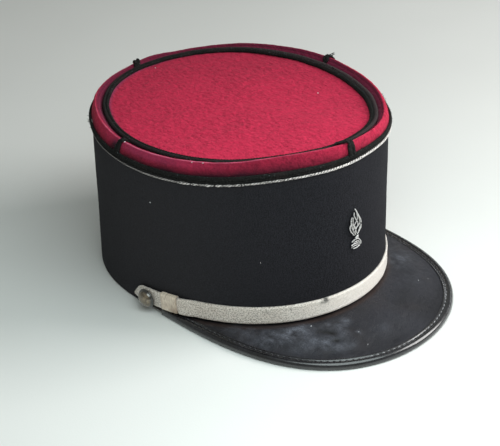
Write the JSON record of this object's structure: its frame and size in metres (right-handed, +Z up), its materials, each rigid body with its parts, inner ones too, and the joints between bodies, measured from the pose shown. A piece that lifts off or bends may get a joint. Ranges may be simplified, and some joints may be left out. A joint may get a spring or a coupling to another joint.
{
  "type": "kepi cap",
  "caption": "Cylindrical kepi with a sunken crimson felt top, black wool tube, braided seams, a bound leather peak, a silver chin strap between domed buttons and a small flame badge.",
  "frame": {"origin": "on the table, under the middle of the hat's overall length and width", "axes": "+Z up through the crown, -Y out over the peak (the wearer's front), +X to the wearer's left"},
  "size_m": [0.1788, 0.2476, 0.1203],
  "materials": {
    "black_wool": "matt wool cloth",
    "crimson_felt": "napped wool felt",
    "black_braid": "matt woven braid",
    "silver_cord": "twisted metallic cord",
    "silver_braid": "worn metallic braid",
    "black_leather": "scuffed satin",
    "glossy_leather": "polished",
    "old_metal": "tarnished, satin",
    "silver_thread": "padded metallic embroidery"
  },
  "bodies": {
    "root": {"crown_body": "black_wool", "turban": "crimson_felt", "crown_top": "crimson_felt", "piping": "silver_cord", "base_braid": "black_braid", "rim_braid": "black_braid", "braid_front": "black_braid", "braid_right": "black_braid", "braid_back": "black_braid", "braid_left": "black_braid", "peak": "black_leather", "peak_binding": "glossy_leather", "chin_strap": "silver_braid", "loop_right": "silver_braid", "loop_left": "silver_braid", "button_right": "old_metal", "button_left": "old_metal", "badge": "silver_thread"}
  },
  "joints": []
}
